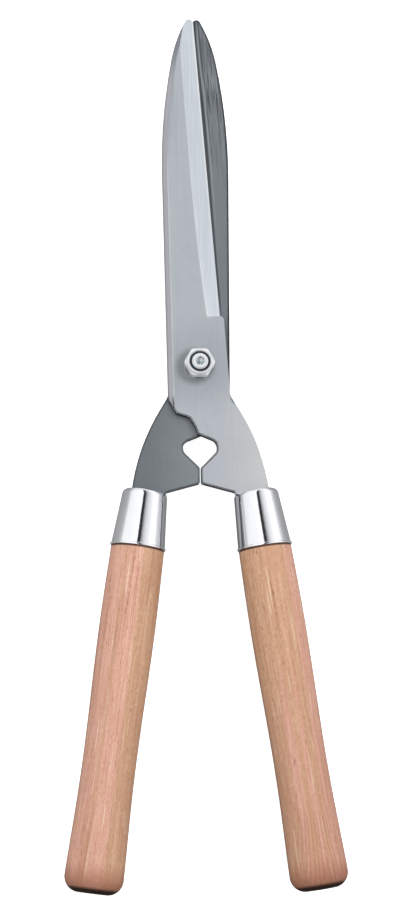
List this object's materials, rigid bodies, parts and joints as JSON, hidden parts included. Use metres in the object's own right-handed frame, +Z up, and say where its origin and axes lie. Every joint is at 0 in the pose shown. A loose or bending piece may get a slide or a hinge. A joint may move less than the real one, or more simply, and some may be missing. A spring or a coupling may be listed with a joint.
{
  "type": "hedge shears",
  "caption": "Two-handed hedge shears: bevelled steel blades crossing on a nut-and-bolt pivot, a twig notch behind it, chrome ferrules and oval wooden handles.",
  "frame": {"origin": "on the floor plane under the middle of the tool's length, on its symmetry line: centre of the bounding box's bottom, z = 0 at the lowest point of the ferrule rims", "axes": "+Y along the tool towards the blade tips, +X to the right handle's side, +Z up through the pivot, out of the face that carries the lock nut"},
  "size_m": [0.165, 0.5434, 0.028],
  "materials": {
    "blade_steel": "satin ground steel, fine lengthwise grinding lines on the bevel",
    "ferrule_chrome": "bright chrome plate",
    "handle_wood": "smooth sanded hardwood, thin clear lacquer",
    "zinc_hardware": "bright zinc plate",
    "nylon": "dark nylon"
  },
  "bodies": {
    "rear_half": {"rear_blade": "blade_steel", "left_ferrule": "ferrule_chrome", "left_handle": "handle_wood", "pivot_bolt": "zinc_hardware", "nut_washer": "zinc_hardware", "lock_nut": "zinc_hardware", "lock_nut_insert": "nylon"},
    "front_half": {"front_blade": "blade_steel", "right_ferrule": "ferrule_chrome", "right_handle": "handle_wood"}
  },
  "joints": [
    {"name": "blade_pivot", "type": "hinge", "parent": "rear_half", "child": "front_half", "pos_m": [0, 0.0432, 0.0138], "axis": [0, 0, 1], "range_deg": [-0.6, 60]}
  ]
}
